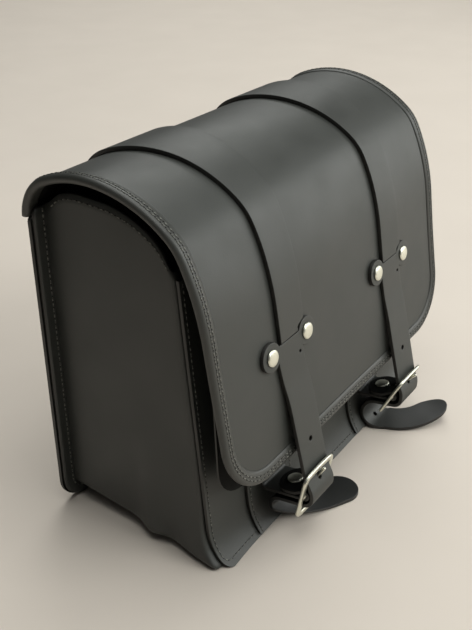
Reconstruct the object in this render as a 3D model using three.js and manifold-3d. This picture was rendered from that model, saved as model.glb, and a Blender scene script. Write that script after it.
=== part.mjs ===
// Leather motorcycle side bag: a hollow body of back panel, gusset and front panel, closed by a flap
// that comes over the top and is held by two T-headed straps in two buckles.
// Millimetres. X runs along the bag, the front faces -Y, Z is up and the bag stands on Z = 0.
import * as THREE from 'three';
import { mergeVertices } from 'three/addons/utils/BufferGeometryUtils.js';
import loadManifold from 'manifold-3d';

// Clearance and leather thickness
const FIT = 0.3;
const BODY_LEATHER = 2.5;
const BACK_LEATHER = 3;
const FLAP_LEATHER = 3;
const STRAP_LEATHER = 3;
const BINDING_LEATHER = 1.2;
const INNER_LEATHER = 1.5;

// Body: back panel, front panel and the gusset between them
const BACK_FACE = 75;
const BACK_HALF = 160.5;
const BACK_TOP = 241;
const BACK_CORNER = 21;
const FRONT_TOP = 222;
const FRONT_TOP_FACE = -39.5;
const FRONT_LEAN = 0.1;
const FRONT_BULGE = 3;
const FRONT_HALF = 147.5;
const FRONT_CORNER = 9;
const FLARE_HEIGHT = 32;
const FLARE_MIDDLE = 9.5;
const FLARE_ENDS = 15;
const FLARE_CURVE = 2.5;
const GUSSET_BACK = { half: 149.5, floor: 10.5, corner: 11 };
const GUSSET_FRONT = { half: 147.5, floor: 1, corner: 5 };
const DENT = { depth: 8, y: -11, width: 12, height: 60 };
const TOE = { out: 6.5, from: 0.5, height: 34 };
const FLOOR_LIFT = { height: 1, y: -9, width: 22 };

// Flap, its folded edge and the thin layer inside it
const FLAP_HALF = 159;
const FLAP_CORNER = 42;
const REAR_TAB_HALF = 150;
const REAR_TAB_DROP = 16;
const REAR_EDGE = 224.5;
const BINDING_WIDTH = 8;
const INNER_FLAP = { seam: 215, half: 150, corner: 28, y: -71, z: 61 };

// Straps, bands, chapes and metal
const STRAP_CENTRE = 75;
const STRAP_HALF = 15;
const HOLE_RADIUS = 2.3;
const HEAD_FROM_EDGE = 81.5;
const EAR_SPREAD = 22.2;
const EAR_RADIUS = 10.5;
const HEAD_TOP = 4;
const HEAD_EASE = 45;
const TOP_BAND = { rearHalf: 28, frontHalf: 15, narrowFrom: 40, narrowTo: 200 };
const FRONT_BAND = { half: 29, bottom: 2, top: 84 };
const CHAPE_TOP = 78;
const BUCKLE = { half: 18, reach: 17.8, corner: 4.5, bow: 1.5, limb: 2.2, end: 2.5, thick: 1.15 };
const CENTRE_BAR_RADIUS = 1.6;
const PRONG_RADIUS = 1.2;
const PRONG_SLOT_HALF = 2.2;
const RIVET = { cap: 6, capHeight: 2, shank: 1.8, foot: 4.5, footHeight: 1.2 };

const LEATHER_COLOUR = 0x2b2b29;
const FLESH_COLOUR = 0x191918;
const NICKEL_COLOUR = 0xd9d4c6;

const { degToRad: rad, lerp, smoothstep } = THREE.MathUtils;
const wasm = await loadManifold();
wasm.setup();

// A closed geometry with shared corners, its faces turned outwards
function closed(geometry) {
  geometry.deleteAttribute('normal');
  geometry.deleteAttribute('uv');
  const body = mergeVertices(geometry, 1e-4);
  const index = Array.from(body.index.array);
  const [a, b, c] = [new THREE.Vector3(), new THREE.Vector3(), new THREE.Vector3()];
  const faces = [];
  let volume = 0;
  for (let i = 0; i < index.length; i += 3) {
    const [ia, ib, ic] = index.slice(i, i + 3);
    if (ia === ib || ib === ic || ic === ia) continue;
    a.fromBufferAttribute(body.attributes.position, ia);
    b.fromBufferAttribute(body.attributes.position, ib);
    c.fromBufferAttribute(body.attributes.position, ic);
    volume += a.dot(b.cross(c));
    faces.push([ia, ib, ic]);
  }
  const outward = volume > 0 ? faces : faces.map(([ia, ib, ic]) => [ia, ic, ib]);
  body.setIndex(outward.flat());
  return body;
}

// A sheet of leather: a box of columns and rows whose corners are carried to their places.
// place(column, row, face) takes whole numbers, and face is 0 on the flesh side, 1 on the grain side.
function sheet(columns, rows, place) {
  const box = new THREE.BoxGeometry(1, 1, 1, columns, rows, 1);
  const corners = box.attributes.position;
  for (let i = 0; i < corners.count; i += 1) {
    const column = Math.round((corners.getX(i) + 0.5) * columns);
    const row = Math.round((corners.getY(i) + 0.5) * rows);
    const face = Math.round(corners.getZ(i) + 0.5);
    corners.setXYZ(i, ...place(column, row, face));
  }
  return closed(box);
}

// A closed loop of bar: place(along, around) takes the two shares of a full turn
function loop(steps, sides, place) {
  const torus = new THREE.TorusGeometry(1, 0.25, sides, steps);
  const { position, uv } = torus.attributes;
  for (let i = 0; i < position.count; i += 1) {
    position.setXYZ(i, ...place(uv.getX(i) % 1, uv.getY(i) % 1));
  }
  return closed(torus);
}

function solid(geometry) {
  return new wasm.Manifold(new wasm.Mesh({
    numProp: 3,
    vertProperties: new Float32Array(geometry.attributes.position.array),
    triVerts: new Uint32Array(geometry.index.array),
  }));
}

function geometryOf(body) {
  const { vertProperties, triVerts } = body.getMesh();
  const geometry = new THREE.BufferGeometry();
  geometry.setAttribute('position', new THREE.BufferAttribute(vertProperties, 3));
  geometry.setIndex(new THREE.BufferAttribute(triVerts, 1));
  return geometry;
}

function cut(geometry, tools) {
  return geometryOf(tools.reduce((body, tool) => body.subtract(solid(tool)), solid(geometry)));
}

// A round punch through a point, along a direction
function punch(point, direction, radius, length) {
  const rod = new THREE.CylinderGeometry(radius, radius, length, 8);
  const turn = new THREE.Quaternion().setFromUnitVectors(new THREE.Vector3(0, 1, 0), direction);
  return closed(rod.applyQuaternion(turn).translate(point.x, point.y, point.z));
}

// A way in the YZ plane made of straights ({ ahead }) and arcs ({ turn, radius }, left is positive).
// at(distance, lift) gives the point, lifted towards the right-hand side of the way.
function way(start, heading, runs) {
  const parts = runs.map((run) => ({
    length: run.ahead ?? run.radius * Math.abs(rad(run.turn)),
    bend: run.turn ? Math.sign(run.turn) / run.radius : 0,
  }));
  const starts = parts.map((_, i) => parts.slice(0, i).reduce((sum, part) => sum + part.length, 0));
  const total = starts.at(-1) + parts.at(-1).length;
  function at(distance, lift = 0) {
    let { y, z } = start;
    let angle = rad(heading);
    let left = distance;
    for (const [i, { length, bend }] of parts.entries()) {
      const step = i === parts.length - 1 ? left : Math.min(left, length);
      const turned = angle + step * bend;
      y += bend ? (Math.sin(turned) - Math.sin(angle)) / bend : step * Math.cos(angle);
      z += bend ? (Math.cos(angle) - Math.cos(turned)) / bend : step * Math.sin(angle);
      angle = turned;
      left -= step;
      if (left <= 0) break;
    }
    return { y: y + lift * Math.sin(angle), z: z - lift * Math.cos(angle), angle };
  }
  function stops(counts) {
    const list = [0];
    counts.forEach((count, i) => {
      for (let k = 1; k <= count; k += 1) list.push(starts[i] + (parts[i].length * k) / count);
    });
    return list;
  }
  return { at, total, starts, stops };
}

function quarter(steps) {
  return Array.from({ length: steps + 1 }, (_, k) => (Math.PI / 2) * (k / steps));
}

// Flap line: up behind the back panel, round the rear corner, over the crown, down the shoulder and front
const flapWay = way({ y: BACK_FACE + 1.5 * FIT + FLAP_LEATHER, z: REAR_EDGE }, 90, [
  { ahead: 14 },
  { turn: 66.7, radius: 35 },
  { turn: 62.7, radius: 96.7 },
  { turn: 23.5, radius: 41 },
  { turn: 17.7, radius: 189 },
  { ahead: 113 },
]);
const flapStops = flapWay.stops([1, 6, 8, 3, 5]);
const cornerAngles = quarter(5);
const flapEnd = flapWay.total;
const flapRows = [
  { along: 0, half: REAR_TAB_HALF },
  ...flapStops.slice(1).map((along, i) => ({ along, half: i === 0 ? REAR_TAB_HALF : FLAP_HALF })),
  ...cornerAngles.map((angle) => ({
    along: flapEnd - FLAP_CORNER + FLAP_CORNER * Math.sin(angle),
    half: FLAP_HALF - FLAP_CORNER + FLAP_CORNER * Math.cos(angle),
  })),
];
flapRows.splice(2, 0, { along: REAR_TAB_DROP, half: FLAP_HALF });
const headAlong = flapEnd - HEAD_FROM_EDGE;

function onFlap(x, along, lift) {
  const { y, z } = flapWay.at(along, lift);
  return [x, y, z];
}

function flapDirections() {
  const { angle } = flapWay.at(headAlong);
  const outward = new THREE.Vector3(0, Math.sin(angle), -Math.cos(angle));
  const upward = new THREE.Vector3(0, -Math.cos(angle), -Math.sin(angle));
  return { outward, upward };
}

// Outer face of the front panel: leaning back, bulged in the middle and flared out at the floor
function frontFace(x, z) {
  const share = Math.min(Math.abs(x) / FRONT_HALF, 1) ** 2;
  const lean = FRONT_TOP_FACE - FRONT_LEAN * (FRONT_TOP - z);
  const flare = Math.max(0, (FLARE_HEIGHT - z) / FLARE_HEIGHT) ** FLARE_CURVE;
  return lean - FRONT_BULGE * (1 - share) - flare * lerp(FLARE_MIDDLE, FLARE_ENDS, share ** 2);
}

function backPanel() {
  const outline = new THREE.Shape();
  outline.moveTo(BACK_HALF, BACK_TOP);
  outline.lineTo(-BACK_HALF, BACK_TOP);
  outline.absarc(-BACK_HALF + BACK_CORNER, BACK_CORNER, BACK_CORNER, Math.PI, 1.5 * Math.PI);
  outline.absarc(BACK_HALF - BACK_CORNER, BACK_CORNER, BACK_CORNER, 1.5 * Math.PI, 2 * Math.PI);
  const plate = new THREE.ExtrudeGeometry(outline, {
    depth: BACK_LEATHER, bevelEnabled: false, curveSegments: 6,
  });
  return closed(plate.rotateX(Math.PI / 2).translate(0, BACK_FACE, 0));
}

// The front panel's rows of corners, from the rounded lower corners up
const frontRows = [
  ...quarter(6).map((angle) => ({
    z: FRONT_CORNER * (1 - Math.cos(angle)),
    half: FRONT_HALF - FRONT_CORNER * (1 - Math.sin(angle)),
  })),
  ...[20, 26, FLARE_HEIGHT, 58, FRONT_BAND.top, 150, FRONT_TOP].map((z) => ({ z, half: FRONT_HALF })),
];

function frontPanel() {
  const rows = frontRows;
  const columns = 12;
  return sheet(columns, rows.length - 1, (column, row, face) => {
    const { z, half } = rows[row];
    const x = half * ((2 * column) / columns - 1);
    return [x, frontFace(x, z) + (1 - face) * BODY_LEATHER, z];
  });
}

// Gusset: one strip down the left side, under the floor and up the right side. Across its width it has
// a flange turned out against the back panel, the wall, and a flange turned in behind the front panel.
function gusset() {
  const backInner = BACK_FACE - BACK_LEATHER - FIT;
  const backBend = [
    { grain: { out: 10, fore: BODY_LEATHER }, flesh: { out: 10, fore: 0 } },
    { grain: { out: 1.6, fore: BODY_LEATHER }, flesh: { out: 0, fore: 0 } },
    { grain: { out: 0, fore: 4.6 }, flesh: { out: -BODY_LEATHER, fore: 2.6 } },
  ];
  const wall = [
    { share: 0.1, top: 257 },
    { share: 0.26, top: 261 },
    { share: 0.42, top: 260.5 },
    { share: 0.52, top: 260 },
    { share: 0.58, top: 259 },
    { share: 0.66, top: 257 },
    { share: 0.8, top: 252 },
    { share: 0.92, top: 243 },
  ];
  const frontBend = [
    { grain: { out: 0, behind: 2 }, flesh: { out: -BODY_LEATHER, behind: 4.5 } },
    { grain: { out: -2, behind: 0 }, flesh: { out: -4.5, behind: BODY_LEATHER } },
    { grain: { out: -9, behind: 0 }, flesh: { out: -9, behind: BODY_LEATHER } },
  ];
  const rearTop = 247;
  const frontTop = 226;
  const sideShares = [0, 0.2, 0.4, 0.6, 0.77, 0.89, 0.95, 1];
  const sideRows = sideShares.length - 1;
  const cornerRows = 4;
  const floorRows = 8;
  const strip = [
    ...backBend.map((bend) => ({ ...bend, share: 0, top: rearTop })),
    ...wall,
    ...frontBend.map((bend) => ({ ...bend, share: 1, top: frontTop })),
  ];
  const rows = 2 * (sideRows + cornerRows) + floorRows;

  // Point of the strip's ring at a row, moved out from the wall
  function ring(row, share, top, out) {
    const half = lerp(GUSSET_BACK.half, GUSSET_FRONT.half, share);
    const floor = lerp(GUSSET_BACK.floor, GUSSET_FRONT.floor, share);
    const corner = lerp(GUSSET_BACK.corner, GUSSET_FRONT.corner, share);
    const round = Math.max(corner + out, 0.5);
    const bend = half + out - round;
    const low = floor - out;
    const fromEnd = Math.min(row, rows - row);
    const side = row <= rows / 2 ? -1 : 1;
    if (fromEnd <= sideRows) {
      return { x: side * (half + out), z: lerp(top, low + round, sideShares[fromEnd]) };
    }
    if (fromEnd <= sideRows + cornerRows) {
      const angle = (Math.PI / 2) * ((fromEnd - sideRows) / cornerRows);
      return { x: side * (bend + round * Math.cos(angle)), z: low + round * (1 - Math.sin(angle)) };
    }
    const along = (row - sideRows - cornerRows) / floorRows;
    return { x: bend * (2 * along - 1), z: low };
  }

  function bell(value, { y, width }) {
    return Math.exp(-(((value - y) / width) ** 2));
  }

  return sheet(strip.length - 1, rows, (column, row, face) => {
    const { share, top, grain, flesh } = strip[column];
    const edge = face ? grain : flesh;
    const out = edge ? edge.out : (face - 1) * BODY_LEATHER;
    const { x, z } = ring(row, share, top, out);
    const behindFront = frontFace(x, z) + BODY_LEATHER + 4 * FIT;
    const outer = Math.abs(x) / GUSSET_BACK.half;
    const low = Math.exp(-((z / TOE.height) ** 2)) * smoothstep(outer, 0.85, 0.97);
    const toe = out > -3 ? TOE.out * low * smoothstep(share, TOE.from, 1) : 0;
    if (edge?.fore !== undefined) return [x, backInner - edge.fore, z];
    if (edge) return [x + Math.sign(x) * toe, behindFront + edge.behind, z];
    const y = lerp(backInner - backBend.at(-1).grain.fore, behindFront + frontBend[0].grain.behind, share);
    const dent = DENT.depth * bell(y, DENT) * Math.exp(-((z / DENT.height) ** 2));
    const lift = FLOOR_LIFT.height * bell(y, FLOOR_LIFT) * outer ** 6 * Math.max(0, 1 - z / DENT.height);
    return [x + Math.sign(x) * (toe - dent * smoothstep(outer, 0.85, 0.97)), y, z + lift];
  });
}

function flap(rivetPlaces) {
  const columns = 4;
  const blank = sheet(columns, flapRows.length - 1, (column, row, face) => {
    const { along, half } = flapRows[row];
    return onFlap(half * ((2 * column) / columns - 1), along, (face - 1) * FLAP_LEATHER);
  });
  return cut(blank, rivetPlaces.map(({ point, outward }) => punch(point, outward, HOLE_RADIUS, 20)));
}

// Binding: a strip folded round the flap's edge, down the left side, along the bottom and up the right
function flapBinding() {
  const side = flapRows.filter(({ along, half }) => along > REAR_TAB_DROP && half === FLAP_HALF);
  const left = [
    ...side.slice(0, -1).map(({ along }) => ({ x: -FLAP_HALF, along, inX: 1, inAlong: 0 })),
    ...cornerAngles.map((angle) => ({
      x: -(FLAP_HALF - FLAP_CORNER) - FLAP_CORNER * Math.cos(angle),
      along: flapEnd - FLAP_CORNER + FLAP_CORNER * Math.sin(angle),
      inX: Math.cos(angle),
      inAlong: -Math.sin(angle),
    })),
  ];
  const right = left.map((station) => ({ ...station, x: -station.x, inX: -station.inX })).reverse();
  const stations = [...left, ...right];
  const middle = -FLAP_LEATHER / 2;
  const foldCentre = 0.3;
  const foldAngles = [90, 30, -30, -90].map(rad);
  const columns = foldAngles.length + 1;
  return sheet(columns, stations.length - 1, (column, row, face) => {
    const radius = FLAP_LEATHER / 2 + 1.5 * FIT + face * BINDING_LEATHER;
    const fold = foldAngles[THREE.MathUtils.clamp(column - 1, 0, foldAngles.length - 1)];
    const straight = column === 0 || column === columns;
    const inward = straight ? BINDING_WIDTH : foldCentre - radius * Math.cos(fold);
    const { x, along, inX, inAlong } = stations[row];
    return onFlap(x + inward * inX, along + inward * inAlong, middle + radius * Math.sin(fold));
  });
}

// Inner flap: thin layer that hangs straight down from its seam inside the flap
function innerFlap() {
  const top = flapWay.at(INNER_FLAP.seam, -FLAP_LEATHER - FIT);
  const fall = Math.hypot(INNER_FLAP.y - top.y, INNER_FLAP.z - top.z);
  const rows = [
    { along: 0, half: INNER_FLAP.half },
    { along: fall / 2, half: INNER_FLAP.half },
    ...quarter(5).map((angle) => ({
      along: fall - INNER_FLAP.corner * (1 - Math.sin(angle)),
      half: INNER_FLAP.half - INNER_FLAP.corner * (1 - Math.cos(angle)),
    })),
  ];
  return sheet(1, rows.length - 1, (column, row, face) => {
    const { along, half } = rows[row];
    const y = lerp(top.y, INNER_FLAP.y, along / fall) + (1 - face) * INNER_LEATHER;
    return [half * (2 * column - 1), y, lerp(top.z, INNER_FLAP.z, along / fall)];
  });
}

function topBand(centre, headShift) {
  const { rearHalf, frontHalf, narrowFrom, narrowTo } = TOP_BAND;
  const earGap = EAR_RADIUS + 2 * FIT;
  const rows = [0, ...flapStops.slice(1)].map((along) => {
    const half = lerp(rearHalf, frontHalf, smoothstep(along, narrowFrom, narrowTo));
    return { along, left: -half, right: half };
  });
  for (const above of [earGap, 9, 7, HEAD_TOP + 2 * FIT]) {
    const clear = EAR_SPREAD - Math.sqrt(earGap ** 2 - above ** 2);
    rows.push({
      along: headAlong - above,
      left: -Math.min(frontHalf, clear - headShift),
      right: Math.min(frontHalf, clear + headShift),
    });
  }
  return sheet(1, rows.length - 1, (column, row, face) => {
    const { along, left, right } = rows[row];
    return onFlap(centre + (column ? right : left), along, FIT + face * STRAP_LEATHER);
  });
}

function frontBand(centre) {
  const columns = 4;
  const { half, bottom, top } = FRONT_BAND;
  const rows = [bottom, ...frontRows.map(({ z }) => z).filter((z) => z > bottom && z <= top)];
  return sheet(columns, rows.length - 1, (column, row, face) => {
    const x = centre + half * ((2 * column) / columns - 1);
    const z = rows[row];
    return [x, frontFace(x, z) - FIT - face * BODY_LEATHER, z];
  });
}

// Strap way, at the middle of its leather: down off the flap, behind the buckle's end bar, out through
// the upper window, round the centre bar, back through the lower window and in a loop down to the floor.
// Each strap lies a little differently. Its head sits headShift to one side. On its way to the floor it
// swings sideways by swing degrees, drifting by drift, and its end then lies on the floor in a curve of
// sweep degrees, its tip lifted by rise and its near edge by roll. Holes are counted from the prong's.
const strapStart = flapWay.at(headAlong + 2, FIT + STRAP_LEATHER / 2);
const STRAPS = {
  left: {
    runs: [
      { ahead: 19.5, stops: 1 },
      { turn: -5, radius: 110, stops: 2 },
      { ahead: 69.2, stops: 2 },
      { turn: -13, radius: 18, stops: 2 },
      { ahead: 8.8, stops: 1 },
      { turn: 27.6, radius: 13, stops: 3 },
      { ahead: 1, stops: 1 },
      { turn: 80, radius: 8.2, stops: 7 },
      { ahead: 20.5, stops: 1 },
      { turn: -80, radius: 9, stops: 7 },
      { turn: -45, radius: 5.5, stops: 4 },
      { ahead: 16.76, stops: 3 },
      { turn: -45.2, radius: 12, stops: 4 },
    ],
    headShift: -5,
    holes: [-31, 31, 62],
    swingFrom: 11,
    tongue: { swing: 63, ease: 1.43, drift: 45, sweep: 2, length: 20, rise: 0, roll: 0 },
    bar: { y: -101.2, z: 42.3, lean: 10 },
    prongTip: { y: -109, z: 61.8 },
  },
  right: {
    runs: [
      { ahead: 19.5, stops: 1 },
      { turn: -5, radius: 110, stops: 2 },
      { ahead: 72.2, stops: 2 },
      { turn: -13, radius: 18, stops: 2 },
      { ahead: 2.8, stops: 1 },
      { turn: 27.6, radius: 13, stops: 3 },
      { ahead: 3, stops: 1 },
      { turn: 80, radius: 8, stops: 7 },
      { ahead: 16, stops: 1 },
      { turn: -170.2, radius: 14.88, stops: 15 },
    ],
    headShift: -3,
    holes: [-31, 31, 72],
    swingFrom: 9,
    tongue: { swing: 18, ease: 6, drift: 7.9, sweep: 66, length: 53, rise: 4, roll: 11 },
    bar: { y: -97.2, z: 42.3, lean: 25.8 },
    prongTip: { y: -110.8, z: 61.3 },
  },
};
for (const strap of Object.values(STRAPS)) {
  strap.way = way(strapStart, 260.6, strap.runs);
  strap.loose = strap.way.starts[strap.swingFrom];
}

// Point of a strap at a distance, across its width, on one face
function strapPlace(centre, { way: line, loose, tongue, headShift }, along, across, face) {
  const { y, z } = line.at(Math.min(along, line.total), (face - 0.5) * STRAP_LEATHER);
  const share = THREE.MathUtils.clamp((along - loose) / (line.total - loose), 0, 1) ** tongue.ease;
  const swing = rad(tongue.swing);
  const run = Math.max(0, along - line.total);
  const curve = tongue.length / rad(tongue.sweep);
  const turned = swing * share + run / curve;
  const aside = headShift * (1 - smoothstep(along, 0, HEAD_EASE)) + tongue.drift * share;
  const x = centre + aside + (run ? curve * (Math.cos(swing) - Math.cos(turned)) : 0);
  const fore = run ? curve * (Math.sin(turned) - Math.sin(swing)) : 0;
  const roll = (tongue.roll * (1 - across / STRAP_HALF)) / 2;
  const rise = (tongue.rise + roll) * (run / tongue.length) ** 2;
  return [x + across * Math.cos(turned), y - fore + across * Math.sin(turned), z + rise];
}

function strapNormal(centre, side, along) {
  const inner = new THREE.Vector3(...strapPlace(centre, side, along, 0, 0));
  const outer = new THREE.Vector3(...strapPlace(centre, side, along, 0, 1));
  const point = inner.clone().lerp(outer, 0.5);
  return { point, outward: outer.sub(inner).normalize() };
}

// Straight line of a prong from the back of the centre bar to its tip, and where it meets the strap
function prongLine({ bar, prongTip, way: line }) {
  const ringRadius = CENTRE_BAR_RADIUS + FIT + PRONG_RADIUS;
  const ring = (degrees) => ({
    y: bar.y + ringRadius * Math.cos(rad(degrees)),
    z: bar.z + ringRadius * Math.sin(rad(degrees)),
  });
  const from = ring(25);
  const length = Math.hypot(prongTip.y - from.y, prongTip.z - from.z);
  const ahead = { y: (prongTip.y - from.y) / length, z: (prongTip.z - from.z) / length };
  let hole = line.starts[3];
  let nearest = Infinity;
  for (let along = line.starts[3]; along < line.starts[6]; along += 0.1) {
    const point = line.at(along);
    const apart = Math.abs((point.y - from.y) * ahead.z - (point.z - from.z) * ahead.y);
    if (apart < nearest) {
      nearest = apart;
      hole = along;
    }
  }
  return { ring, from, ahead, hole };
}

function strap(centre, side) {
  const { way: line, tongue, runs } = side;
  const tipStart = line.total + tongue.length - STRAP_HALF;
  const rows = [
    ...line.stops(runs.map(({ stops }) => stops)).map((along) => ({ along, half: STRAP_HALF })),
    ...[0.35, 0.7, 1].map((share) => ({ along: lerp(line.total, tipStart, share), half: STRAP_HALF })),
    ...quarter(6).slice(1, -1).map((angle) => ({
      along: tipStart + STRAP_HALF * Math.sin(angle),
      half: STRAP_HALF * Math.cos(angle),
    })),
  ];
  const columns = 2;
  const strip = sheet(columns, rows.length - 1, (column, row, face) => {
    const { along, half } = rows[row];
    return strapPlace(centre, side, along, half * (column - 1), face);
  });
  const { hole, ahead } = prongLine(side);
  const punches = side.holes.map((apart) => {
    const { point, outward } = strapNormal(centre, side, hole + apart);
    return punch(point, outward, HOLE_RADIUS, 6);
  });
  const crossing = strapNormal(centre, side, hole).point;
  punches.push(punch(crossing, new THREE.Vector3(0, ahead.y, ahead.z), HOLE_RADIUS, 12));
  const headed = solid(strip).add(solid(strapHead(centre + side.headShift)));
  return geometryOf(punches.reduce((body, tool) => body.subtract(solid(tool)), headed));
}

// Head of a strap: a bar with a round ear at each end, cut with a hole for each rivet
function strapHead(centre) {
  const innerDrop = Math.sqrt(EAR_RADIUS ** 2 - (EAR_SPREAD - STRAP_HALF) ** 2);
  const neck = Math.atan2(-innerDrop, STRAP_HALF - EAR_SPREAD);
  const shoulder = Math.PI - Math.asin(HEAD_TOP / EAR_RADIUS);
  const outline = new THREE.Shape();
  outline.moveTo(STRAP_HALF, -innerDrop - 6);
  outline.absarc(EAR_SPREAD, 0, EAR_RADIUS, neck, shoulder);
  outline.absarc(-EAR_SPREAD, 0, EAR_RADIUS, Math.PI - shoulder, Math.PI - neck);
  outline.lineTo(-STRAP_HALF, -innerDrop - 6);
  for (const side of [-1, 1]) {
    outline.holes.push(new THREE.Path().absarc(side * EAR_SPREAD, 0, HOLE_RADIUS, 0, 2 * Math.PI, true));
  }
  const skin = 0.05;
  const plate = new THREE.ExtrudeGeometry(outline, {
    depth: STRAP_LEATHER + 2 * skin, bevelEnabled: false, curveSegments: 10,
  });
  const { outward, upward } = flapDirections();
  const frame = new THREE.Matrix4().makeBasis(new THREE.Vector3(1, 0, 0), upward, outward);
  const [x, y, z] = onFlap(centre, headAlong, FIT - skin);
  return closed(plate.applyMatrix4(frame.setPosition(x, y, z)));
}

// Chape: a strap sewn to the front band that turns out from it, passes under the buckle's centre bar, goes
// round it and comes back on top of itself, where a rivet holds its rounded end
const CHAPE = { turnRadius: 4, rise: 9, closing: 24, closingRadius: 10, tail: 16, endDepth: 12 };
const chapeLift = 2 * FIT + BODY_LEATHER;
const barDistance = CENTRE_BAR_RADIUS + 1.5 * FIT + BODY_LEATHER / 2;

function chapeWay({ bar }) {
  const start = { y: frontFace(STRAP_CENTRE, CHAPE_TOP) - chapeLift - BODY_LEATHER / 2, z: CHAPE_TOP };
  const heading = 270 - THREE.MathUtils.radToDeg(Math.atan(FRONT_LEAN));
  const outward = 180 - CHAPE.rise;
  const turn = { turn: outward - heading, radius: CHAPE.turnRadius };
  const bend = way(start, heading, [turn]);
  const corner = bend.at(bend.total);
  const above = { y: Math.sin(rad(outward)), z: -Math.cos(rad(outward)) };
  const downward = { y: Math.cos(rad(heading)), z: Math.sin(rad(heading)) };
  const short = (bar.y - corner.y) * above.y + (bar.z - corner.z) * above.z - barDistance;
  const down = short / (downward.y * above.y + downward.z * above.z);
  const foot = { y: corner.y + down * downward.y, z: corner.z + down * downward.z };
  const reach = (bar.y - foot.y) * Math.cos(rad(outward)) + (bar.z - foot.z) * Math.sin(rad(outward));
  const closing = rad(CHAPE.closing);
  const apart = barDistance * (1 + Math.cos(closing)) - CHAPE.closingRadius * (1 - Math.cos(closing));
  return way(start, heading, [
    { ahead: down },
    turn,
    { ahead: reach },
    { turn: -180 - CHAPE.closing, radius: barDistance },
    { ahead: (apart - BODY_LEATHER - 1.5 * FIT) / Math.sin(closing) },
    { turn: CHAPE.closing, radius: CHAPE.closingRadius },
    { ahead: CHAPE.tail },
  ]);
}

function chapeRivetPlace(centre, line) {
  const { y, z, angle } = line.at(line.starts[6] + 5, -BODY_LEATHER / 2);
  return {
    point: new THREE.Vector3(centre, y, z),
    outward: new THREE.Vector3(0, -Math.sin(angle), Math.cos(angle)),
    stack: 2 * BODY_LEATHER + 1.5 * FIT,
  };
}

function chape(centre, { bar }, line) {
  const tipStart = line.total - CHAPE.endDepth;
  const rows = [
    ...line.stops([4, 5, 2, 10, 1, 2]).map((along) => ({ along, half: STRAP_HALF })),
    { along: tipStart, half: STRAP_HALF },
    ...quarter(5).slice(1, -1).map((angle) => ({
      along: tipStart + CHAPE.endDepth * Math.sin(angle),
      half: STRAP_HALF * Math.cos(angle),
    })),
  ];
  const columns = 2;
  const blank = sheet(columns, rows.length - 1, (column, row, face) => {
    const { along, half } = rows[row];
    const x = centre + half * ((2 * column) / columns - 1);
    const { y, z } = line.at(along, (face - 0.5) * BODY_LEATHER);
    const onBand = 1 - smoothstep(along, line.starts[1], line.starts[2]);
    return [x, y + onBand * (frontFace(x, z) - frontFace(centre, z)), z];
  });
  const slot = new THREE.BoxGeometry(2 * PRONG_SLOT_HALF, 14, 13).translate(0, 1.5, 0);
  slot.rotateX(-rad(CHAPE.rise)).translate(centre, bar.y, bar.z);
  const { point, outward } = chapeRivetPlace(centre, line);
  return cut(blank, [closed(slot), punch(point, outward, HOLE_RADIUS, 16)]);
}

// Buckle: a closed flat frame whose ends are slightly bowed, with a round bar across its middle
function buckle(centre, { bar }) {
  const { half, reach, corner, bow, limb, end, thick } = BUCKLE;
  const ahead = new THREE.Vector3(0, -Math.sin(rad(bar.lean)), Math.cos(rad(bar.lean)));
  const across = new THREE.Vector3(1, 0, 0);
  const outward = new THREE.Vector3().crossVectors(across, ahead);
  const middle = new THREE.Vector3(centre, bar.y, bar.z);
  const line = new THREE.Path();
  line.moveTo(0, -reach);
  line.absarc(half - corner, corner - reach, corner, -Math.PI / 2, 0);
  line.absarc(half - corner, reach - corner, corner, 0, Math.PI / 2);
  line.absarc(corner - half, reach - corner, corner, Math.PI / 2, Math.PI);
  line.absarc(corner - half, corner - reach, corner, Math.PI, 1.5 * Math.PI);
  line.lineTo(0, -reach);
  const frame = loop(40, 6, (along, around) => {
    const point = line.getPointAt(along);
    const tangent = line.getTangentAt(along);
    const atEnd = smoothstep(Math.abs(point.y), reach - corner, reach);
    const bowed = Math.sign(point.y) * bow * atEnd * (1 - (point.x / half) ** 2);
    const angle = 2 * Math.PI * around;
    const side = lerp(limb, end, atEnd) * Math.cos(angle);
    return middle.clone()
      .addScaledVector(across, point.x + side * tangent.y)
      .addScaledVector(ahead, point.y + bowed - side * tangent.x)
      .addScaledVector(outward, thick * Math.sin(angle))
      .toArray();
  });
  const rod = new THREE.CylinderGeometry(CENTRE_BAR_RADIUS, CENTRE_BAR_RADIUS, 2 * half, 8);
  rod.rotateZ(Math.PI / 2).translate(middle.x, middle.y, middle.z);
  return geometryOf(solid(frame).add(solid(closed(rod))));
}

// Prong: a wire hooked round the centre bar that comes out through the strap's hole over the end bar
function prong(centre, side) {
  const { ring, from, ahead } = prongLine(side);
  const { prongTip } = side;
  const length = Math.hypot(prongTip.y - from.y, prongTip.z - from.z);
  const points = [
    ...[235, 280, 325].map(ring),
    from,
    ...[0.3, 0.65, 1].map((share) => ({
      y: from.y + ahead.y * length * share,
      z: from.z + ahead.z * length * share,
    })),
  ];
  const path = new THREE.CatmullRomCurve3(points.map(({ y, z }) => new THREE.Vector3(centre, y, z)));
  const section = new THREE.Shape().absarc(0, 0, PRONG_RADIUS, 0, 2 * Math.PI);
  const wire = new THREE.ExtrudeGeometry(section, {
    extrudePath: path, steps: 16, curveSegments: 3, bevelEnabled: false,
  });
  return closed(wire);
}

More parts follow.
